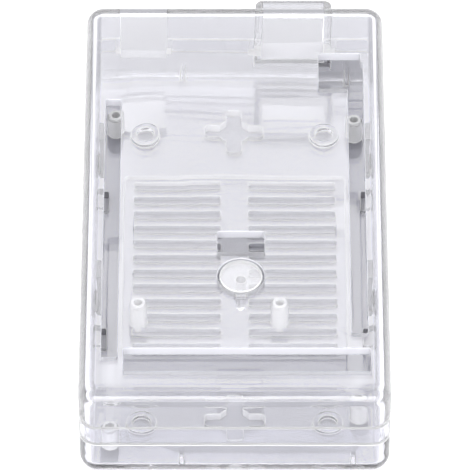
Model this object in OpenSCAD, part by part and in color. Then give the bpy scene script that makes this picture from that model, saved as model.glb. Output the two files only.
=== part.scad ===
// Clear snap-together enclosure for a long-format microcontroller board.
// Frame: X across the case, +Y towards the connector end, +Z up, origin at the middle of the underside.

/* [Board that the case is made for] */
// Length of the circuit board
board_l = 101.6; // [100:0.2:110]
// Width of the circuit board
board_w = 53.34; // [52:0.2:60]
// Thickness of the circuit board
board_t = 1.6; // [1:0.1:2.4]

/* [Shells] */
// Thickness of the side and end walls
wall_t = 2; // [1.8:0.1:2.6]
// Thickness of the floor
floor_t = 2; // [1.6:0.1:2.6]
// Thickness of the top plate
plate_t = 2; // [1.6:0.1:2.6]
// Radius of the outer edges and of the upright corners
edge_r = 3.5; // [3:0.1:4.5]
// Radius where the floor meets the walls inside
foot_r = 1.2; // [0.8:0.1:2]
// Gap between the board's connector end and its wall
far_gap = 0.3; // [0.2:0.05:0.6]
// Gap between the board's other end and its wall
near_gap = 0.6; // [0.2:0.05:1]
// Gap between each long edge of the board and the side wall
side_gap = 1.33; // [1:0.05:2]
// Clear height from the top of the board to the top plate
head_room = 13.3; // [12.8:0.1:16]
// Height of the base's wall above the top of the board
seam_above_board = 1.1; // [0.8:0.1:2]
// Gap between the rims of the two shells
seam_gap = 0.12; // [0.1:0.02:0.3]

/* [Tongue and rebate] */
// Thickness of the tongue that stands on the base's rim
tongue_t = 0.9; // [0.7:0.05:1]
// Height of the tongue above the base's rim
tongue_h = 4.1; // [3.4:0.1:4.8]
// Clearance between the tongue and the cover
tongue_gap = 0.15; // [0.1:0.05:0.3]
// Length of rim left bare of tongue beside each connector opening
tongue_notch = 1; // [0.5:0.1:1.5]

/* [Connector openings] */
// Width of the power socket's opening
power_w = 9.5; // [9:0.1:11]
// Distance of the power socket's middle from the board's left edge
power_mid = 8.25; // [7.8:0.05:9]
// Width of the data socket's opening
data_w = 12.4; // [12:0.1:13.4]
// Distance of the data socket's middle from the board's right edge
data_inset = 14.74; // [14:0.02:16]
// Height of both openings
opening_h = 11.7; // [11.2:0.1:12.2]
// Distance of the openings' sill above the floor
sill_rise = 6.1; // [5.6:0.1:6.6]
// How far the shroud round the data socket stands out of the end wall
shroud_out = 2.7; // [1.5:0.1:4]
// How far the shroud reaches inside the end wall
shroud_in = 0.3; // [0.1:0.05:0.3]
// Thickness of the shroud beside the opening
shroud_side = 1.5; // [1.2:0.1:2]
// Thickness of the shroud above the opening
shroud_cap = 1; // [0.8:0.1:1.4]
// Thickness of the shroud's sill
shroud_sill = 2.5; // [1.8:0.1:2.6]
// Radius of the shroud's upright edges
shroud_r = 1.4; // [0.8:0.1:1.4]

/* [Board posts] */
// Height of the shoulder that carries the board
shoulder_h = 4.5; // [4:0.1:5]
// Diameter of the shoulder
shoulder_d = 3.5; // [3.4:0.1:4]
// Diameter of the peg that enters the board's hole
peg_d = 2.9; // [2.7:0.05:3.1]
// Height of the peg that enters the board's hole
peg_h = 0.6; // [0.5:0.05:1]
// Diameter of the moulding core in the middle of a post
core_d = 1.6; // [1.2:0.1:1.8]
// Floor left under the core
core_floor = 1; // [0.8:0.1:1.4]

/* [Floor] */
// Distance between rows of vents
vent_pitch = 3.95; // [3.7:0.01:3.98]
// Width of a vent
vent_w = 1.8; // [1.4:0.1:2.2]
// Bare floor between the side walls and the vents
vent_inset = 7.8; // [7:0.1:10]
// Width of the solid spine between the two columns of vents
spine_w = 5.6; // [4:0.1:8]
// Least distance of the vents from each end of the board
vent_lead = 28.9; // [28:0.1:31]
// Depth of the panel that the vents are cut in
panel_depth = 0.8; // [0.4:0.1:0.9]
// Bare rim of the panel beside the vents
panel_side = 2; // [1.4:0.1:2.4]
// Bare rim of the panel before the first vent and after the last
panel_end = 0.9; // [0.6:0.1:1.2]
// Radius of the vents' corners
vent_r = 0.5; // [0.3:0.05:0.6]
// Distance of one keyhole from the board's connector end
keyhole_far = 14.9; // [14:0.1:16]
// Distance of the other keyhole from the board's other end
keyhole_near = 10.9; // [10:0.1:12]
// Length of a keyhole's arms, tip to tip
keyhole_l = 11.6; // [9:0.1:12]
// Width of a keyhole's arms
keyhole_w = 3; // [2.6:0.1:3.6]
// Radius of the corners at the tips of the arms
keyhole_r = 0.9; // [0.6:0.1:1.2]
// Diameter of the keyhole's middle
keyhole_d = 6.2; // [5.6:0.1:7]
// Distance of the rings from the side walls
ring_inset = 9.9; // [9:0.1:12]
// How far the rings lie behind the keyhole's middle
ring_lag = 1.4; // [0:0.1:2]
// Outer diameter of a ring
ring_d = 6; // [5.4:0.1:6.6]
// Inner diameter of a ring
ring_bore = 3.6; // [3:0.1:4]
// Height of a ring above the floor
ring_h = 1; // [0.6:0.1:1.6]
// Thickness of the gussets inside the end walls
gusset_t = 0.9; // [0.8:0.1:1.2]
// Length of a gusset along the floor
gusset_l = 1.2; // [1:0.1:1.6]
// Height of a gusset above the floor
gusset_h = 4.4; // [3.6:0.1:4.4]
// Distance of the left gussets from the board's left edge
gusset_left = 16.5; // [14:0.1:18]
// Distance of the right gussets from the board's right edge
gusset_right = 3.8; // [3:0.1:5]

/* [Snaps] */
// Length of a snap arm along the wall
snap_l = 4.6; // [4:0.1:5.4]
// Thickness of a snap arm
snap_t = 0.85; // [0.7:0.05:0.9]
// How far a catch stands out of the base's wall
catch_out = 1; // [0.8:0.05:1.1]
// Height of a catch
catch_h = 1.8; // [1.4:0.1:2]
// Clearance between a snap arm and its catch
snap_gap = 0.2; // [0.15:0.05:0.25]
// Height of an arm's barb
barb_h = 1.2; // [0.8:0.1:1.2]
// Distance of the far snaps from the board's connector end
snap_far = 33.1; // [32:0.1:36]
// Distance of the near snaps from the board's other end
snap_near = 31.5; // [30:0.1:33]
// Width of the tool hole in the floor under each snap
tool_hole_w = 2.6; // [2:0.1:2.7]
// Length of the tool hole in the floor under each snap
tool_hole_l = 5; // [4.8:0.1:6]

/* [Top plate] */
// Width of the slots over the long header rows
header_slot_w = 3.1; // [2.8:0.1:3.4]
// First pin of the right header row from the board's connector end
right_first_pin = 18.8; // [18:0.1:20]
// Last pin of the right header row from the board's other end
right_last_pin = 15.24; // [14:0.02:16]
// First pin of the left header row from the board's connector end
left_first_pin = 27.94; // [27:0.1:29]
// Last pin of the left header row from the board's other end
left_last_pin = 10.16; // [9:0.02:12]
// Length of the right slot beyond its first pin
right_lead = 4.1; // [2:0.1:4.4]
// Length of the right slot beyond its last pin
right_tail = 1.5; // [1.3:0.1:2.6]
// Length of the left slot beyond its end pins
left_margin = 2.6; // [2:0.1:3.2]
// Radius of the corners of the slots and windows
slot_r = 0.5; // [0.3:0.05:0.8]
// Distance of each header row from its edge of the board
header_inset = 2.54; // [2.4:0.02:2.8]
// Width of the slot over the double header row
double_slot_w = 5.9; // [5.6:0.1:6.4]
// Distance of the double header row's middle from the board's other end
double_inset = 6.9; // [6.2:0.05:7.4]
// Left end of the double header's slot from the board's left edge
double_start = 5.3; // [5:0.1:7]
// Right end of the double header's slot from the board's right edge
double_stop = 0.5; // [0.3:0.1:1]
// Width of the window beside the right slot
corner_window_w = 5.8; // [4:0.1:7]
// Length of the window beside the right slot
corner_window_l = 9.8; // [8:0.1:12]
// How far the window reaches past the far end of the right slot
corner_window_lead = 2.1; // [0:0.1:3]
// Width of the programming window and diameter of the button's hole
window_w = 9.2; // [8.6:0.1:10]
// Length of the programming window
window_l = 5.6; // [5.2:0.1:6.4]
// Distance of the programming window's middle from the board's other end
window_inset = 37.6; // [36:0.1:39]
// Sideways offset of the window and the button from the middle line
button_offset = 1.2; // [0:0.1:2]

/* [Reset button] */
// Distance of the button's middle from the board's other end
button_inset = 28.6; // [27.6:0.1:29.6]
// Gap round the button's disc
button_gap = 0.45; // [0.35:0.05:0.6]
// Diameter of the button's stem
stem_d = 1.9; // [1.6:0.1:2.4]
// Distance of the stem's tip above the board
stem_clear = 5.2; // [4:0.1:6]
// Width of the neck that the button bends on
neck_w = 1.8; // [1.4:0.1:2.4]
// Thickness of the neck
neck_t = 0.8; // [0.6:0.1:1]
// Running gap between the neck's rounded root and its seat in the plate
neck_gap = 0.05; // [0.03:0.01:0.08]
// Room above and below the neck where it leaves its seat
neck_room = 0.15; // [0.1:0.01:0.2]

/* [Hidden] */
$fn = 64;
tiny = 0.01;
over = 1;

// Outside and inside of the case
inner_w = board_w + 2 * side_gap;
inner_l = board_l + far_gap + near_gap;
case_w = inner_w + 2 * wall_t;
case_l = inner_l + 2 * wall_t;
board_z = floor_t + shoulder_h;
board_top = board_z + board_t;
plate_z = board_top + head_room;
case_h = plate_z + plate_t;
inner_r = edge_r - wall_t;
ceiling_r = edge_r - plate_t;

// The shroud stands out of the far end, so the body lies back by half of it
body_y = -shroud_out / 2;
far_y = body_y + case_l / 2;
near_y = body_y - case_l / 2;
board_far_y = far_y - wall_t - far_gap;
board_left_x = -board_w / 2;

// Rims, tongue and rebate
rim_z = board_top + seam_above_board;
tongue_z = rim_z + tongue_h;
rebate_z = tongue_z + tongue_gap;

// Connector openings
sill_z = floor_t + sill_rise;
opening_z = sill_z + opening_h;
power_x = board_left_x + power_mid;
data_x = board_left_x + board_w - data_inset;
shroud_w = data_w + 2 * shroud_side;

// Vent panel
vent_l = (inner_w - spine_w) / 2 - vent_inset;
vent_steps = floor((board_l - 2 * vent_lead) / vent_pitch);
panel_w = spine_w + 2 * vent_l + 2 * panel_side;
panel_l = vent_steps * vent_pitch + vent_w + 2 * panel_end;
panel_y = board_far_y - board_l / 2;
panel_r = panel_end;

// Board holes, as distance from the connector end and from the left edge
BOARD_HOLES = [
    [13.97, 2.54], [15.24, board_w - 2.54],
    [board_l - 35.56, 7.62], [board_l - 35.56, board_w - 17.78],
    [board_l - 11.43, board_w - 2.54], [board_l - 5.08, 2.54]
];

// Snaps: the catch hangs from the tongue, and the arm's barb sits under it
catch_z = tongue_z - catch_h;
arm_x = inner_w / 2 - catch_out - snap_gap;
barb_top = catch_z - snap_gap;
barb_z = barb_top - barb_h;
barb_out = catch_out;

// Reset button and its neck
button_y = board_far_y - board_l + button_inset;
window_y = board_far_y - board_l + window_inset;
disc_d = window_w - 2 * button_gap;
stem_z = board_top + stem_clear;
neck_z = case_h - plate_t / 2;
neck_root_y = button_y - window_w / 2 - neck_t;

// A point of the board, given from its connector end and its left edge
function on_board(along, across) = [board_left_x + across, board_far_y - along, 0];

// Places of the four snaps and of the two keyholes
function snap_y(row) = board_far_y - (row == 0 ? snap_far : board_l - snap_near);
function keyhole_y(row) = board_far_y - (row == 0 ? keyhole_far : board_l - keyhole_near);

// Rounded plan, exact arcs
module rounded_plan(w, l, r) {
    square([w - 2 * r, l], center = true);
    square([w, l - 2 * r], center = true);
    for (x = [-1, 1], y = [-1, 1])
        translate([x * (w / 2 - r), y * (l / 2 - r)]) circle(r);
}

// Section of a rounded edge, from the axis of its corner outwards
module edge_section(r, h, top_r, bottom_r) {
    polygon([[0, 0], [r - bottom_r, 0], [r, bottom_r], [r, h - top_r], [r - top_r, h], [0, h]]);
    if (bottom_r > 0) intersection() {
        translate([r - bottom_r, bottom_r]) circle(bottom_r);
        square([r, bottom_r]);
    }
    if (top_r > 0) intersection() {
        translate([r - top_r, h - top_r]) circle(top_r);
        translate([0, h - top_r]) square([r, top_r]);
    }
}

// Block with rounded upright corners and rounded top and bottom edges
module rounded_block(w, l, h, r, top_r, bottom_r) {
    flat_w = w - 2 * r;
    flat_l = l - 2 * r;
    translate([-flat_w / 2, -flat_l / 2, 0]) cube([flat_w, flat_l, h]);
    for (side = [0, 180]) rotate([0, 0, side]) {
        translate([flat_w / 2, flat_l / 2, 0]) rotate([90, 0, 0])
            linear_extrude(flat_l) edge_section(r, h, top_r, bottom_r);
        translate([-flat_w / 2, flat_l / 2, 0]) rotate([90, 0, 90])
            linear_extrude(flat_w) edge_section(r, h, top_r, bottom_r);
        translate([flat_w / 2, flat_l / 2, 0])
            rotate_extrude(angle = 90) edge_section(r, h, top_r, bottom_r);
        translate([-flat_w / 2, flat_l / 2, 0]) rotate([0, 0, 90])
            rotate_extrude(angle = 90) edge_section(r, h, top_r, bottom_r);
    }
}

// Outside of the whole case
module case_outside() {
    translate([0, body_y, 0]) rounded_block(case_w, case_l, case_h, edge_r, edge_r, edge_r);
}

// Space inside the case
module case_inside() {
    translate([0, body_y, floor_t])
        rounded_block(inner_w, inner_l, plate_z - floor_t, inner_r, ceiling_r, foot_r);
}

// Slab across the whole case between two heights
module slab(low, high) {
    reach = 2 * case_l;
    translate([-reach / 2, -reach / 2, low]) cube([reach, reach, high - low]);
}

// Block of the shroud round the data socket
module shroud_block() {
    depth = shroud_out + wall_t + shroud_in;
    translate([data_x, far_y + shroud_out - depth / 2, sill_z - shroud_sill])
        linear_extrude(opening_h + shroud_sill + shroud_cap) {
            rounded_plan(shroud_w, depth, shroud_r);
            translate([0, -depth / 4]) square([shroud_w, depth / 2], center = true);
        }
}

// Space cut by one connector opening, widened by a margin
module opening_cut(mid, w, margin, low, high) {
    reach = shroud_out + wall_t + shroud_in + 2 * over;
    translate([mid - w / 2 - margin, far_y + shroud_out + over - reach, low])
        cube([w + 2 * margin, reach, high - low]);
}

// Both connector openings
module connector_openings() {
    opening_cut(power_x, power_w, 0, sill_z, opening_z);
    opening_cut(data_x, data_w, 0, sill_z, opening_z);
}

// Tongue on the base's rim, bare beside the openings
module tongue() {
    difference() {
        translate([0, body_y, floor_t])
            linear_extrude(tongue_z - floor_t)
                rounded_plan(inner_w + 2 * tongue_t, inner_l + 2 * tongue_t, inner_r + tongue_t);
        opening_cut(power_x, power_w, tongue_notch, rim_z, tongue_z + over);
        opening_cut(data_x, shroud_w, tongue_notch, rim_z, tongue_z + over);
    }
}

// Cross-shaped keyhole
module keyhole() {
    translate([0, 0, -over]) {
        for (turn = [0, 90]) rotate([0, 0, turn])
            linear_extrude(floor_t + 2 * over) rounded_plan(keyhole_l, keyhole_w, keyhole_r);
        cylinder(d = keyhole_d, h = floor_t + 2 * over);
    }
}

// Hollow post: a shoulder that carries the board and a peg for its hole
module board_post() {
    difference() {
        union() {
            cylinder(d = shoulder_d, h = board_z);
            cylinder(d = peg_d, h = board_z + peg_h);
        }
        post_core();
    }
}

// Moulding core in the middle of a post
module post_core() {
    translate([0, 0, core_floor]) cylinder(d = core_d, h = board_z + peg_h);
}

// Raised ring on the floor
module floor_ring() {
    translate([0, 0, floor_t - tiny]) difference() {
        cylinder(d = ring_d, h = ring_h + tiny);
        translate([0, 0, -tiny]) cylinder(d = ring_bore, h = ring_h + over);
    }
}

// Vents in their sunk panel
module vent_panel() {
    translate([0, panel_y, floor_t - panel_depth])
        linear_extrude(over) rounded_plan(panel_w, panel_l, panel_r);
    for (row = [0 : vent_steps], side = [-1, 1])
        translate([side * (spine_w + vent_l) / 2, panel_y + (vent_steps / 2 - row) * vent_pitch, -over])
            linear_extrude(floor_t + 2 * over) rounded_plan(vent_l, vent_w, vent_r);
}

// Pointed gusset standing inside an end wall, with its back on the wall
module gusset() {
    sunk = wall_t / 2;
    translate([gusset_t / 2, -sunk, floor_t]) rotate([90, 0, -90])
        linear_extrude(gusset_t)
            polygon([
                [0, -floor_t / 2], [-sunk - gusset_l, -floor_t / 2], [-sunk - gusset_l, 0],
                [-sunk, gusset_h], [0, gusset_h]
            ]);
}

// Catch that hangs inside the base's wall, with a ramp that leads the arm in
module catch() {
    sunk = tongue_t / 2;
    translate([inner_w / 2, snap_l / 2, catch_z]) rotate([90, 0, 0])
        linear_extrude(snap_l)
            polygon([[sunk, 0], [-catch_out, 0], [-catch_out, catch_h / 3], [0, catch_h], [sunk, catch_h]]);
}

// Lower shell: floor, walls, tongue, posts, keyholes and vents in one moulding
module base() {
    color([0.9, 0.91, 0.95, 0.35]) difference() {
        union() {
            difference() {
                union() {
                    intersection() {
                        case_outside();
                        slab(-over, rim_z);
                    }
                    intersection() {
                        shroud_block();
                        slab(-over, rim_z);
                    }
                    tongue();
                }
                difference() {
                    case_inside();
                    shroud_block();
                }
                vent_panel();
            }
            for (hole = BOARD_HOLES) translate(on_board(hole[0], hole[1])) board_post();
            for (row = [0, 1], side = [-1, 1])
                translate([side * (inner_w / 2 - ring_inset), keyhole_y(row) - ring_lag, 0]) floor_ring();
            for (across = [gusset_left, board_w - gusset_right]) translate([board_left_x + across, 0, 0]) {
                translate([0, far_y - wall_t, 0]) mirror([0, 1, 0]) gusset();
                translate([0, near_y + wall_t, 0]) gusset();
            }
            for (row = [0, 1], side = [0, 180])
                translate([0, snap_y(row), 0]) rotate([0, 0, side]) catch();
        }
        connector_openings();
        for (hole = BOARD_HOLES) translate(on_board(hole[0], hole[1])) post_core();
        for (row = [0, 1]) {
            translate([0, keyhole_y(row), 0]) keyhole();
            for (side = [0, 180])
                translate([0, snap_y(row), 0]) rotate([0, 0, side])
                    translate([inner_w / 2 - tool_hole_w, -tool_hole_l / 2, -over])
                        cube([tool_hole_w, tool_hole_l, floor_t + 2 * over]);
        }
    }
}

// Rounded cut through the top plate, given its ends along and across the board
module plate_cut(far_end, near_end, left_end, right_end) {
    translate(on_board((far_end + near_end) / 2, (left_end + right_end) / 2))
        translate([0, 0, plate_z - over])
            linear_extrude(plate_t + 2 * over)
                rounded_plan(right_end - left_end, near_end - far_end, slot_r);
}

// All the cuts in the top plate
module plate_cuts() {
    half = header_slot_w / 2;
    right_row = board_w - header_inset;
    right_far_end = right_first_pin - right_lead;
    window_far_end = right_far_end - corner_window_lead;
    double_row = board_l - double_inset;
    plate_cut(
        left_first_pin - left_margin, board_l - left_last_pin + left_margin,
        header_inset - half, header_inset + half
    );
    plate_cut(right_far_end, board_l - right_last_pin + right_tail, right_row - half, right_row + half);
    plate_cut(
        window_far_end, window_far_end + corner_window_l,
        right_row - half - corner_window_w, right_row + half - slot_r
    );
    plate_cut(
        double_row - double_slot_w / 2, double_row + double_slot_w / 2,
        double_start, board_w - double_stop
    );
    translate([button_offset, window_y, plate_z - over])
        linear_extrude(plate_t + 2 * over) rounded_plan(window_w, window_l, slot_r);
    translate([button_offset, button_y, plate_z - over])
        cylinder(d = window_w, h = plate_t + 2 * over);
    neck_seat();
}

// Seat in the plate for the rounded root of the button's neck
module neck_seat() {
    seat_w = neck_w + 2 * button_gap;
    translate([button_offset - seat_w / 2, neck_root_y, neck_z]) {
        rotate([0, 90, 0]) cylinder(r = neck_t / 2 + neck_gap, h = seat_w);
        translate([0, 0, -neck_t / 2 - neck_room])
            cube([seat_w, window_w / 2, neck_t + 2 * neck_room]);
    }
}

// Upper shell: top plate and walls in one moulding
module top_cover() {
    color([0.9, 0.91, 0.95, 0.35]) difference() {
        union() {
            intersection() {
                case_outside();
                slab(rim_z + seam_gap, case_h + over);
            }
            intersection() {
                shroud_block();
                slab(rim_z + seam_gap, case_h);
            }
        }
        difference() {
            case_inside();
            shroud_block();
        }
        translate([0, body_y, floor_t])
            linear_extrude(rebate_z - floor_t)
                rounded_plan(
                    inner_w + 2 * (tongue_t + tongue_gap), inner_l + 2 * (tongue_t + tongue_gap),
                    inner_r + tongue_t + tongue_gap
                );
        connector_openings();
        plate_cuts();
    }
}

// Round button with its stem and the neck that it bends on
module reset_button() {
    color([0.88, 0.9, 0.95, 0.4]) union() {
        translate([button_offset, button_y, plate_z]) cylinder(d = disc_d, h = plate_t);
        translate([button_offset, button_y, stem_z]) cylinder(d = stem_d, h = plate_z - stem_z + tiny);
        translate([button_offset - neck_w / 2, neck_root_y, neck_z]) {
            rotate([0, 90, 0]) cylinder(d = neck_t, h = neck_w);
            translate([0, 0, -neck_t / 2]) cube([neck_w, button_y - neck_root_y, neck_t]);
        }
    }
}

// One arm on the right wall, with its barb under the catch
module snap_arm(row) {
    color([0.88, 0.9, 0.95, 0.4])
        translate([arm_x, snap_y(row) + snap_l / 2, 0]) rotate([90, 0, 0])
            linear_extrude(snap_l)
                polygon([
                    [-snap_t, barb_z], [0, barb_z], [barb_out, barb_top], [0, barb_top],
                    [0, plate_z], [-snap_t, plate_z]
                ]);
}

base();
top_cover();
reset_button();
mirror([1, 0, 0]) snap_arm(0);  // snap_arm_left_far
mirror([1, 0, 0]) snap_arm(1);  // snap_arm_left_near
snap_arm(0);  // snap_arm_right_far
snap_arm(1);  // snap_arm_right_near
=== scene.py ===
"""Clear snap-together enclosure for a long circuit board, dressed and lit for its photograph."""

from __future__ import annotations

import logging
import math
from collections.abc import Callable
from dataclasses import dataclass, field
from enum import Enum, IntEnum
from typing import Any

import bmesh
import bpy
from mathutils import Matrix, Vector

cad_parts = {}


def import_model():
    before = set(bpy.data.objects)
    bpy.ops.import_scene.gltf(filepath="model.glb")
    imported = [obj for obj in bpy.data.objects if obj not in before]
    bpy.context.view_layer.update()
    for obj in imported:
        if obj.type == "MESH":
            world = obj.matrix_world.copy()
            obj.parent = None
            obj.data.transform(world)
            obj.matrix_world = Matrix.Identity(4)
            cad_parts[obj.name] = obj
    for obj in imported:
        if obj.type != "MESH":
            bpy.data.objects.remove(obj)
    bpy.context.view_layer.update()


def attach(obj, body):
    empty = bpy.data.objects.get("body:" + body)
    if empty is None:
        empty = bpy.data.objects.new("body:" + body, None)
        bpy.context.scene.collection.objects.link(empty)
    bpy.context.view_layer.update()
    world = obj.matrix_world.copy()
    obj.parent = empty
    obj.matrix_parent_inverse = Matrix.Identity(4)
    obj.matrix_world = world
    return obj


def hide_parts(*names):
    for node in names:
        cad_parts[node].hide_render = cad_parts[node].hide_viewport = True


LOG = logging.getLogger("enclosure")
MM = 0.001
MERGE_MM = 0.001
FLAT_ANGLE = math.radians(0.5)
SMOOTH_ANGLE = math.radians(30)
SHARP_ANGLE = math.radians(40)
AIR_FILM_MM = 0.05
SAME_LEVEL_MM = 0.01
LEVEL_NORMAL = 0.9
UPRIGHT_NORMAL = 0.5
CLEAR_BOUNCES = 96
MIRROR_BOUNCES = 12
DIFFUSE_BOUNCES = 6


class Body(Enum):
    """Bodies of the frame that pieces ride on."""

    BASE = "base"
    COVER = "cover"
    BUTTON = "button"


class Slot(Enum):
    """Material slots of the record."""

    SHELL = "clear_shell"
    TRIM = "clear_trim"


class Finish(IntEnum):
    """Places of the materials in a piece's list: the clear plastic, then copies of it that paint light and shade."""

    CLEAR = 0
    EDGE = 1
    CORE = 2
    SEAM = 3
    VENT = 4
    SILL = 5
    TOOL_HOLE = 6


def linear(hex_colour: str) -> tuple[float, float, float, float]:
    """Turn an sRGB hex colour to linear light.

    Args:
        hex_colour: Six hex digits, such as "F2F2F5".

    Returns:
        The colour as linear red, green, blue and an alpha of 1.
    """
    parts = [int(hex_colour[i:i + 2], 16) / 255 for i in (0, 2, 4)]
    r, g, b = (c / 12.92 if c <= 0.04045 else ((c + 0.055) / 1.055) ** 2.4 for c in parts)
    return (r, g, b, 1.0)


def add_node(tree: bpy.types.NodeTree, kind: str, settings: dict[str | int, Any] | None = None,
             links: dict[str | int, bpy.types.NodeSocket] | None = None) -> bpy.types.Node:
    """Add a node with its settings and its incoming links.

    Args:
        tree: Node tree that gets the node.
        kind: Blender's name for the node type.
        settings: Values by the name or number of a socket, or by attribute where no socket has that name.
        links: Outgoing sockets of other nodes, by the name or number of the socket that each feeds.

    Returns:
        The new node.
    """
    node = tree.nodes.new(kind)
    for key, value in (settings or {}).items():
        if isinstance(key, int) or key in node.inputs:
            node.inputs[key].default_value = value
        else:
            setattr(node, key, value)
    for key, source in (links or {}).items():
        tree.links.new(source, node.inputs[key])
    return node


@dataclass(frozen=True)
class ClearPolycarbonate:
    """Polycarbonate moulded in a polished tool.

    It is clear with a cool tint and a trace of haze, so each wall that light passes veils what lies behind it a little.
    """

    name: str
    tint: str = "FCFCFF"
    clearness: float = 0.985
    ior: float = 1.58
    roughness: float = 0.02
    ripple_mm: float = 16.0
    ripple_height_mm: float = 0.02

    def material(self) -> bpy.types.Material:
        """Make the material.

        Returns:
            A node material with a faint moulding ripple on the surface.
        """
        material = bpy.data.materials.new(self.name)
        material.use_nodes = True
        tree = material.node_tree
        tree.nodes.clear()
        place = add_node(tree, "ShaderNodeTexCoord")
        # Sink and flow marks that the moulding leaves in the flat walls, about ripple_mm apart
        ripple = add_node(tree, "ShaderNodeTexNoise", {"Scale": 1 / (self.ripple_mm * MM), "Detail": 2.0},
                          {"Vector": place.outputs["Object"]})
        bump = add_node(tree, "ShaderNodeBump", {"Distance": self.ripple_height_mm * MM, "Strength": 1.0},
                        {"Height": ripple.outputs["Fac"]})
        shader = add_node(tree, "ShaderNodeBsdfPrincipled", {
            "Base Color": linear(self.tint), "Transmission Weight": self.clearness,
            "IOR": self.ior, "Roughness": self.roughness,
        }, {"Normal": bump.outputs["Normal"]})
        add_node(tree, "ShaderNodeOutputMaterial", None, {"Surface": shader.outputs["BSDF"]})
        return material


@dataclass(frozen=True)
class PaintedLightPolycarbonate:
    """Nearly opaque copy of the clear polycarbonate that paints light and shade onto edges and walls.

    White, it paints the highlight that each outline catches; tinted grey, it paints shade.
    """

    name: str = "clear polycarbonate, painted edge highlights"
    tint: str = "FFFFFF"
    clearness: float = 0.05
    ior: float = 1.58
    roughness: float = 0.3

    def material(self) -> bpy.types.Material:
        """Make the material.

        Returns:
            A plain node material.
        """
        material = bpy.data.materials.new(self.name)
        material.use_nodes = True
        tree = material.node_tree
        tree.nodes.clear()
        shader = add_node(tree, "ShaderNodeBsdfPrincipled", {
            "Base Color": linear(self.tint), "Transmission Weight": self.clearness,
            "IOR": self.ior, "Roughness": self.roughness,
        })
        add_node(tree, "ShaderNodeOutputMaterial", None, {"Surface": shader.outputs["BSDF"]})
        return material


def weigh_edges(mesh: bpy.types.Mesh, share: Callable[[Vector], float]) -> None:
    """Give each sharp edge of a mesh its share of the full mould radius.

    Args:
        mesh: Mesh whose edges are weighed.
        share: Function that gives the share from an edge's middle.
    """
    shape = bmesh.new()
    shape.from_mesh(mesh)
    layer = shape.edges.layers.float.get("bevel_weight_edge") or shape.edges.layers.float.new("bevel_weight_edge")
    for edge in shape.edges:
        if len(edge.link_faces) == 2 and edge.calc_face_angle() > SHARP_ANGLE:
            edge[layer] = share((edge.verts[0].co + edge.verts[1].co) / 2)
    shape.to_mesh(mesh)
    shape.free()


def smooth_copy(node: str, name: str, width_mm: float, clear: bpy.types.Material, painted_edge: bpy.types.Material,
                share: Callable[[Vector], float] = lambda middle: 1.0,
                film_mm: tuple[float, float] | None = None) -> bpy.types.Object:
    """Copy a CAD node, merge its triangles into flat faces and round its sharp edges.

    Faces of two clear pieces that lie in one plane would render as dark specks, so one of them can leave the other
    by a thin film of air.

    Args:
        node: Name of the CAD node.
        name: Name of the new piece.
        width_mm: Width of the small radius that a mould leaves on an edge.
        clear: Material of the faces.
        painted_edge: Material of the rounded edges; white, it paints a highlight on them, and grey, it paints shade.
        share: Function that gives an edge's share of the width from its middle.
        film_mm: Height of the level face that leaves its neighbour, and how far it rises or, below zero, sinks.

    Returns:
        The new piece, with its place in its mesh.
    """
    source = bpy.data.objects[node]
    piece = source.copy()
    piece.data = source.data.copy()
    piece.name = piece.data.name = name
    piece.parent = None
    piece.data.materials.clear()
    piece.data.materials.append(clear)
    piece.data.materials.append(painted_edge)
    bpy.context.scene.collection.objects.link(piece)
    bpy.ops.object.select_all(action="DESELECT")
    piece.select_set(True)
    bpy.context.view_layer.objects.active = piece
    bpy.ops.object.mode_set(mode="EDIT")
    bpy.ops.mesh.select_all(action="SELECT")
    bpy.ops.mesh.remove_doubles(threshold=MERGE_MM * MM)
    bpy.ops.mesh.customdata_custom_splitnormals_clear()
    bpy.ops.mesh.dissolve_limited(angle_limit=FLAT_ANGLE)
    bpy.ops.object.mode_set(mode="OBJECT")
    if film_mm:
        level, rise = film_mm
        for vertex in piece.data.vertices:
            if abs(vertex.co.z - level * MM) < SAME_LEVEL_MM * MM:
                vertex.co.z += rise * MM
    bpy.ops.object.shade_smooth_by_angle(angle=SMOOTH_ANGLE)
    weigh_edges(piece.data, share)
    bevel = piece.modifiers.new("mould radius", "BEVEL")
    bevel.width = width_mm * MM
    bevel.segments = 2
    bevel.limit_method = "WEIGHT"
    bevel.use_clamp_overlap = False
    bevel.harden_normals = True
    # The rounded edges take the edge material, whose white tint paints a highlight and whose grey tint paints shade
    bevel.material = Finish.EDGE
    bpy.ops.object.modifier_apply(modifier=bevel.name)
    return piece


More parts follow.
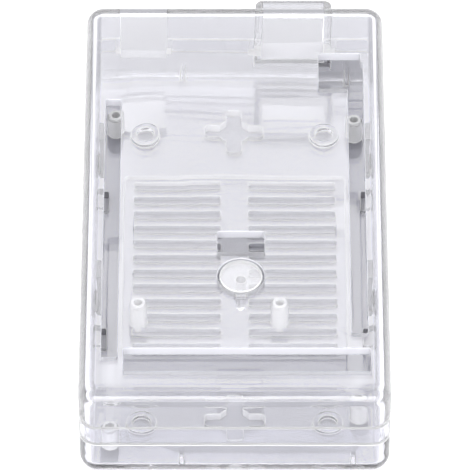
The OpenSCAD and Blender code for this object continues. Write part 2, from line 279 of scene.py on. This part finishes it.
@dataclass
class Shells:
    """Base and cover, the two clear mouldings of the case.

    The plastic is the same all over. Its edges and walls take copies of it that paint light and shade, white for
    painted highlights and grey for painted shade, in tints that give each kind of wall the tone it has in the
    photograph.
    """

    edge_radius_mm: float = 0.17
    seam_share: float = 0.45
    plate_share: float = 0.8
    wall_mm: float = 2.0
    wall_margin_mm: float = 0.05
    plate_margin_mm: float = 0.1
    seam_mm: tuple[float, float] = (8.5, 14.0)
    outer_mm: tuple[float, float] = (60.0, 106.5)
    middle_y_mm: float = -1.35
    plate_z_mm: float = 21.4
    board_top_mm: float = 8.2
    post_reach_mm: float = 1.8
    sill_y_mm: float = 49.5
    vents_x_mm: float = 20.6
    vents_y_mm: tuple[float, float] = (-22.5, 20.5)
    tool_holes_x_mm: float = 23.0
    tool_holes_y_mm: tuple[float, float] = (16.5, -20.5)
    tool_hole_reach_mm: float = 4.0
    posts_mm: tuple[tuple[float, float], ...] = (
        (-24.13, 35.63), (24.13, 34.36), (-19.05, -16.44), (8.89, -16.44), (24.13, -40.57), (-24.13, -46.92),
    )
    finish: ClearPolycarbonate = field(
        default_factory=lambda: ClearPolycarbonate("clear polycarbonate, polished mould"))
    # The white base edges paint highlights, and the grey cover edges paint shade
    edge_light_and_shade: dict[Body, PaintedLightPolycarbonate] = field(default_factory=lambda: {
        Body.BASE: PaintedLightPolycarbonate("clear polycarbonate, base edges with painted highlights", tint="FFFFFF"),
        Body.COVER: PaintedLightPolycarbonate("clear polycarbonate, cover edges with painted shade", tint="D2D2D8"),
    })
    # White floor cut walls, posts and seam faces paint light; grey vent walls, sills and tool hole walls paint shade
    other_light_and_shade: dict[Finish, PaintedLightPolycarbonate] = field(default_factory=lambda: {
        Finish.CORE: PaintedLightPolycarbonate(
            "clear polycarbonate, core pins", tint="FFFFFF", clearness=0.1, roughness=0.2),
        Finish.SEAM: PaintedLightPolycarbonate(
            "clear polycarbonate, seam faces with painted light", tint="FFFFFF", clearness=0.3, roughness=0.5),
        Finish.VENT: PaintedLightPolycarbonate(
            "clear polycarbonate, vent walls with painted shade", tint="D4D4DA", clearness=0.1, roughness=0.3),
        Finish.SILL: PaintedLightPolycarbonate(
            "clear polycarbonate, sills of the openings", tint="BCBCC2", clearness=0.0, roughness=0.5),
        Finish.TOOL_HOLE: PaintedLightPolycarbonate(
            "clear polycarbonate, tool hole walls with painted shade", tint="9A9AA0", clearness=0.1, roughness=0.3),
    })

    def is_inside(self, x: float, y: float) -> bool:
        """Tell whether a place lies inside the walls.

        Args:
            x: Place across the case, in mm.
            y: Place along the case, in mm.

        Returns:
            True inside the walls.
        """
        wall = self.wall_mm + self.wall_margin_mm
        return abs(x) < self.outer_mm[0] / 2 - wall and abs(y - self.middle_y_mm) < self.outer_mm[1] / 2 - wall

    def edge_share(self, middle: Vector) -> float:
        """Give an edge's share of the mould radius, full in the floor and smaller in the plate and at the seam.

        Args:
            middle: Middle of the edge.

        Returns:
            A share from 0 to 1.
        """
        x, y, z = (c / MM for c in middle)
        if self.is_inside(x, y) and z < self.board_top_mm:
            return 1.0
        in_plate = self.is_inside(x, y) and z > self.plate_z_mm - self.plate_margin_mm
        return self.plate_share if in_plate else self.seam_share

    def is_post(self, x: float, y: float, z: float) -> bool:
        """Tell whether a place belongs to one of the posts that carry the board.

        Args:
            x: Place across the case, in mm.
            y: Place along the case, in mm.
            z: Height, in mm.

        Returns:
            True on a post.
        """
        return z < self.board_top_mm and any(
            math.hypot(x - px, y - py) < self.post_reach_mm for px, py in self.posts_mm)

    def finish_of(self, face: bpy.types.MeshPolygon, body: Body) -> Finish:
        """Choose the material of a face by its place and direction: the clear plastic, else a copy that paints light
        and shade.

        Args:
            face: Face of a shell.
            body: Body that the shell rides on.

        Returns:
            The finish.
        """
        x, y, z = (c / MM for c in face.center)
        level = abs(face.normal.z) > LEVEL_NORMAL
        in_floor = z < self.wall_mm
        upright = abs(face.normal.z) < UPRIGHT_NORMAL
        cut_wall = self.is_inside(x, y) and upright and (in_floor or z > self.plate_z_mm)
        if cut_wall and in_floor:
            near_hole = any(abs(y - row) < self.tool_hole_reach_mm for row in self.tool_holes_y_mm)
            if abs(x) > self.tool_holes_x_mm and near_hole:
                return Finish.TOOL_HOLE
            if abs(x) < self.vents_x_mm and self.vents_y_mm[0] < y < self.vents_y_mm[1]:
                return Finish.VENT
        # Cut walls and posts take white painted light on the base and grey painted shade on the cover
        if cut_wall or self.is_post(x, y, z):
            return Finish.CORE if body is Body.BASE else Finish.EDGE
        if level and y > self.sill_y_mm and self.wall_mm < z < self.seam_mm[0]:
            return Finish.SILL
        if (level or face.material_index == Finish.EDGE) and self.seam_mm[0] < z < self.seam_mm[1]:
            return Finish.SEAM
        return Finish(face.material_index)

    def build(self) -> list[bpy.types.Object]:
        """Make both shells from their CAD nodes.

        Returns:
            The two pieces.
        """
        pieces = []
        clear = self.finish.material()
        others = [self.other_light_and_shade[finish].material() for finish in sorted(self.other_light_and_shade)]
        for node, body in (("base", Body.BASE), ("top_cover", Body.COVER)):
            piece = smooth_copy(node, f"{node}_moulding", self.edge_radius_mm, clear,
                                self.edge_light_and_shade[body].material(), self.edge_share)
            for material in others:
                piece.data.materials.append(material)
            for face in piece.data.polygons:
                face.material_index = self.finish_of(face, body)
            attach(piece, body.value)
            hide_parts(node)
            pieces.append(piece)
        return pieces


@dataclass
class ResetButton:
    """Round button with its stem, on the neck that it bends on."""

    edge_radius_mm: float = 0.12
    plate_z_mm: float = 21.4
    finish: ClearPolycarbonate = field(
        default_factory=lambda: ClearPolycarbonate("clear polycarbonate, button", clearness=0.8))
    edge_highlight: PaintedLightPolycarbonate = field(default_factory=PaintedLightPolycarbonate)

    def build(self) -> list[bpy.types.Object]:
        """Make the button from its CAD node, with a painted highlight on its rim.

        Returns:
            The button.
        """
        piece = smooth_copy("reset_button", "reset_button_moulding", self.edge_radius_mm,
                            self.finish.material(), self.edge_highlight.material())
        # Upright faces above the plate take the white edge material, a painted highlight on the button's rim
        for face in piece.data.polygons:
            if abs(face.normal.z) < UPRIGHT_NORMAL and face.center.z > self.plate_z_mm * MM:
                face.material_index = Finish.EDGE
        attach(piece, Body.BUTTON.value)
        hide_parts("reset_button")
        return [piece]


@dataclass
class SnapArms:
    """Four arms that hang from the cover and hook under the base's catches, tinted grey to paint shade on them."""

    nodes: tuple[str, ...] = ("snap_arm_left_far", "snap_arm_left_near", "snap_arm_right_far", "snap_arm_right_near")
    edge_radius_mm: float = 0.08
    plate_z_mm: float = 21.4
    # The grey tint of the arms is painted shade
    finish: PaintedLightPolycarbonate = field(default_factory=lambda: PaintedLightPolycarbonate(
        "clear polycarbonate, snap arms with painted shade", tint="A2A2A8", clearness=0.3, roughness=0.15))

    def build(self) -> list[bpy.types.Object]:
        """Make the arms from their CAD nodes.

        Returns:
            The four arms.
        """
        pieces = []
        material = self.finish.material()
        for node in self.nodes:
            piece = smooth_copy(node, f"{node}_moulding", self.edge_radius_mm, material, material,
                                film_mm=(self.plate_z_mm, -AIR_FILM_MM))
            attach(piece, Body.COVER.value)
            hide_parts(node)
            pieces.append(piece)
        return pieces


@dataclass(frozen=True)
class Softbox:
    """A softbox, placed by its height angle and by its turn from the far side of the case."""

    name: str
    size_m: tuple[float, float]
    glow: float
    distance_m: float
    rise_deg: float
    turn_deg: float


@dataclass(frozen=True)
class LightAndShadeBand:
    """A band across the table with light and shade painted into its colour, placed by where it begins and ends along
    the case.
    """

    colour: str
    begin_mm: tuple[float, float]
    end_mm: tuple[float, float]


@dataclass
class Studio:
    """White table with shade painted on it under and round the case, soft light from all round and the camera."""

    floor_size_m: float = 12.0
    air_under_case_mm: float = 0.05
    case_half_mm: tuple[float, float] = (30.0, 53.25)
    case_middle_y_mm: float = -1.35
    laminate_roughness: float = 0.6
    # Painted shade on the table by the distance outside the case's plan, darkest under the middle of the case, matched
    # to what the photograph shows in the plastic
    painted_shade_stops_mm: tuple[tuple[float, str], ...] = (
        (-14.0, "CCCCD2"), (-6.0, "F0F0F6"), (-3.0, "F8F8FC"), (0.0, "ECECF2"), (18.0, "ECECF2"), (40.0, "F4F4F6"),
    )
    # The first band paints shade that shows through the far wall, and the second paints light in the slot of the double
    # header row
    painted_bands: tuple[LightAndShadeBand, ...] = (
        LightAndShadeBand("A4A4AA", (48.9, 51.9), (71.9, 91.9)), LightAndShadeBand("F4F4FA", (-31.0, -28.0), (-22.0, -19.0)),
    )
    backdrop_colour: str = "FFFFFF"
    backdrop_glow: float = 0.3
    backdrop_overlap_mm: float = 3.0
    world_colour: str = "FFFFFF"
    world_strength: float = 1.15
    # The flat faces mirror the far softbox to the camera, and the near one fills the walls that face it
    softboxes: tuple[Softbox, ...] = (
        Softbox("far softbox", (0.6, 0.5), 2.0, 1.3, 47.0, 0.0),
        Softbox("near softbox", (1.6, 0.9), 4.2, 1.5, 22.0, 180.0),
    )
    lens_mm: float = 456.9
    sensor_mm: float = 36.0
    sight_m: float = 100.0
    camera_place_mm: tuple[float, float, float] = (0.06, -803.25, 879.3)
    camera_tilt_deg: float = 42.73

    def build(self) -> None:
        """Make the floor, the light and the camera."""
        self.floor()
        self.light()
        for box in self.softboxes:
            self.softbox(box)
        self.camera()

    def floor(self) -> None:
        """Lay a large white table under the case."""
        bpy.ops.object.select_all(action="DESELECT")
        # The thin film of air under the case keeps the clear floor from lying optically on the table
        bpy.ops.mesh.primitive_plane_add(size=self.floor_size_m, location=(0.0, 0.0, -self.air_under_case_mm * MM))
        floor = bpy.context.active_object
        floor.name = floor.data.name = "table"
        floor.data.materials.append(self.table_finish())

    def table_finish(self) -> bpy.types.Material:
        """Make the table's material.

        It is white laminate with shade painted on it, pale grey under the case and close round it, as it shows through
        the plastic. Past the case the camera and the mirror images see it white, with the shadow kept.

        Returns:
            The material.
        """
        material = bpy.data.materials.new("pale laminate table with painted shade")
        material.use_nodes = True
        tree = material.node_tree
        tree.nodes.clear()
        out = self.distance_out(tree)
        # The laminate takes the painted shade of the ramp and the bands as its colour
        laminate = add_node(tree, "ShaderNodeBsdfPrincipled", {"Roughness": self.laminate_roughness},
                            {"Base Color": self.tone(tree, out)})
        white = add_node(tree, "ShaderNodeBsdfDiffuse", {"Color": linear(self.backdrop_colour)})
        glow = add_node(tree, "ShaderNodeEmission", {
            "Color": linear(self.backdrop_colour), "Strength": self.backdrop_glow})
        backdrop = add_node(tree, "ShaderNodeAddShader", None, {
            0: white.outputs["BSDF"], 1: glow.outputs["Emission"]})
        mix = add_node(tree, "ShaderNodeMixShader", None, {
            0: self.backdrop_share(tree, out), 1: laminate.outputs["BSDF"], 2: backdrop.outputs["Shader"]})
        add_node(tree, "ShaderNodeOutputMaterial", None, {"Surface": mix.outputs["Shader"]})
        return material

    def distance_out(self, tree: bpy.types.NodeTree) -> bpy.types.NodeSocket:
        """Add the nodes that measure how far a point of the table lies outside the case's plan.

        Args:
            tree: Node tree of the table's material.

        Returns:
            A socket with the distance in metres, below zero under the case.
        """
        place = add_node(tree, "ShaderNodeTexCoord")
        axes = add_node(tree, "ShaderNodeSeparateXYZ", None, {"Vector": place.outputs["Object"]})
        along = add_node(tree, "ShaderNodeMath", {"operation": "SUBTRACT", 1: self.case_middle_y_mm * MM},
                         {0: axes.outputs["Y"]})
        reach = []
        for socket, half in ((axes.outputs["X"], self.case_half_mm[0]), (along.outputs[0], self.case_half_mm[1])):
            size = add_node(tree, "ShaderNodeMath", {"operation": "ABSOLUTE"}, {0: socket})
            reach.append(add_node(tree, "ShaderNodeMath", {"operation": "SUBTRACT", 1: half * MM},
                                  {0: size.outputs[0]}))
        out = add_node(tree, "ShaderNodeMath", {"operation": "MAXIMUM"}, {
            0: reach[0].outputs[0], 1: reach[1].outputs[0]})
        return out.outputs[0]

    def tone(self, tree: bpy.types.NodeTree, out: bpy.types.NodeSocket) -> bpy.types.NodeSocket:
        """Add the nodes for the painted shade and light that the table has where it shows through the plastic.

        Args:
            tree: Node tree of the table's material.
            out: Socket with the distance outside the case's plan.

        Returns:
            A socket with the colour.
        """
        start, stop = self.painted_shade_stops_mm[0][0], self.painted_shade_stops_mm[-1][0]
        along = add_node(tree, "ShaderNodeMapRange", {"From Min": start * MM, "From Max": stop * MM}, {"Value": out})
        shade = add_node(tree, "ShaderNodeValToRGB", None, {"Fac": along.outputs["Result"]})
        ramp = shade.color_ramp.elements
        while len(ramp) < len(self.painted_shade_stops_mm):
            ramp.new(0.5)
        for element, (distance, colour) in zip(ramp, self.painted_shade_stops_mm):
            element.position = (distance - start) / (stop - start)
            element.color = linear(colour)
        place = add_node(tree, "ShaderNodeTexCoord")
        axes = add_node(tree, "ShaderNodeSeparateXYZ", None, {"Vector": place.outputs["Object"]})
        tone = shade.outputs["Color"]
        # Each band mixes its painted colour into the tone, darker for shade and lighter for light
        for band in self.painted_bands:
            begin = add_node(tree, "ShaderNodeMapRange", {
                "From Min": band.begin_mm[0] * MM, "From Max": band.begin_mm[1] * MM,
            }, {"Value": axes.outputs["Y"]})
            end = add_node(tree, "ShaderNodeMapRange", {
                "From Min": band.end_mm[0] * MM, "From Max": band.end_mm[1] * MM, "To Min": 1.0, "To Max": 0.0,
            }, {"Value": axes.outputs["Y"]})
            share = add_node(tree, "ShaderNodeMath", {"operation": "MULTIPLY"}, {
                0: begin.outputs["Result"], 1: end.outputs["Result"]})
            # Sockets 6 and 7 of this node are its two colours, and its third outgoing socket is the mixed one
            mixed = add_node(tree, "ShaderNodeMix", {"data_type": "RGBA", 7: linear(band.colour)}, {
                0: share.outputs[0], 6: tone})
            tone = mixed.outputs[2]
        return tone

    def backdrop_share(self, tree: bpy.types.NodeTree, out: bpy.types.NodeSocket) -> bpy.types.NodeSocket:
        """Add the nodes that tell where the table reads as the white backdrop.

        Args:
            tree: Node tree of the table's material.
            out: Socket with the distance outside the case's plan.

        Returns:
            A socket that is 1 past the case for the camera and the mirror images, and 0 elsewhere.
        """
        beyond = add_node(tree, "ShaderNodeMapRange", {
            "From Min": -self.backdrop_overlap_mm * MM, "From Max": 0.0}, {"Value": out})
        ray = add_node(tree, "ShaderNodeLightPath")
        # A ray that has passed through plastic counts as glossy too, so the mirror images are told from it first
        spare = add_node(tree, "ShaderNodeMath", {"operation": "SUBTRACT"}, {
            0: ray.outputs["Is Glossy Ray"], 1: ray.outputs["Is Transmission Ray"]})
        mirrored = add_node(tree, "ShaderNodeMath", {"operation": "MAXIMUM", 1: 0.0}, {0: spare.outputs[0]})
        seen = add_node(tree, "ShaderNodeMath", {"operation": "ADD", "use_clamp": True}, {
            0: ray.outputs["Is Camera Ray"], 1: mirrored.outputs[0]})
        share = add_node(tree, "ShaderNodeMath", {"operation": "MULTIPLY"}, {
            0: seen.outputs[0], 1: beyond.outputs["Result"]})
        return share.outputs[0]

    def light(self) -> None:
        """Light the set evenly from a white room."""
        world = bpy.data.worlds.new("white room")
        bpy.context.scene.world = world
        world.use_nodes = True
        tree = world.node_tree
        tree.nodes.clear()
        glow = add_node(tree, "ShaderNodeBackground", {
            "Color": linear(self.world_colour), "Strength": self.world_strength})
        add_node(tree, "ShaderNodeOutputWorld", None, {"Surface": glow.outputs["Background"]})

    def softbox(self, box: Softbox) -> None:
        """Hang a softbox that faces the case.

        Args:
            box: The softbox's name, size, glow and place.
        """
        width, height = box.size_m
        data = bpy.data.lights.new(box.name, "AREA")
        data.shape = "RECTANGLE"
        data.size, data.size_y = width, height
        data.energy = box.glow * math.pi * width * height
        lamp = bpy.data.objects.new(box.name, data)
        bpy.context.scene.collection.objects.link(lamp)
        rise, turn = math.radians(box.rise_deg), math.radians(box.turn_deg)
        way = Vector((math.sin(turn) * math.cos(rise), math.cos(turn) * math.cos(rise), math.sin(rise)))
        lamp.location = way * box.distance_m
        lamp.rotation_euler = way.to_track_quat("Z", "Y").to_euler()

    def camera(self) -> None:
        """Place the camera where the photograph was taken from."""
        data = bpy.data.cameras.new("photograph")
        data.lens = self.lens_mm
        data.sensor_width = self.sensor_mm
        data.clip_end = self.sight_m
        camera = bpy.data.objects.new("photograph", data)
        bpy.context.scene.collection.objects.link(camera)
        camera.location = Vector(self.camera_place_mm) * MM
        camera.rotation_euler = (math.radians(self.camera_tilt_deg), 0.0, 0.0)
        bpy.context.scene.camera = camera


def prepare_render() -> None:
    """Set the plain view transform and enough bounces for light to cross both shells and return."""
    scene = bpy.context.scene
    scene.view_settings.view_transform = "Standard"
    scene.cycles.max_bounces = CLEAR_BOUNCES
    scene.cycles.transmission_bounces = CLEAR_BOUNCES
    scene.cycles.glossy_bounces = MIRROR_BOUNCES
    scene.cycles.diffuse_bounces = DIFFUSE_BOUNCES


def main() -> None:
    """Build the enclosure and its studio."""
    logging.basicConfig(level=logging.INFO, format="%(name)s: %(message)s")
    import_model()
    prepare_render()
    Studio().build()
    for assembly in (Shells(), ResetButton(), SnapArms()):
        for piece in assembly.build():
            LOG.info("%s: %d faces", piece.name, len(piece.data.polygons))


if __name__ == "__main__":
    main()
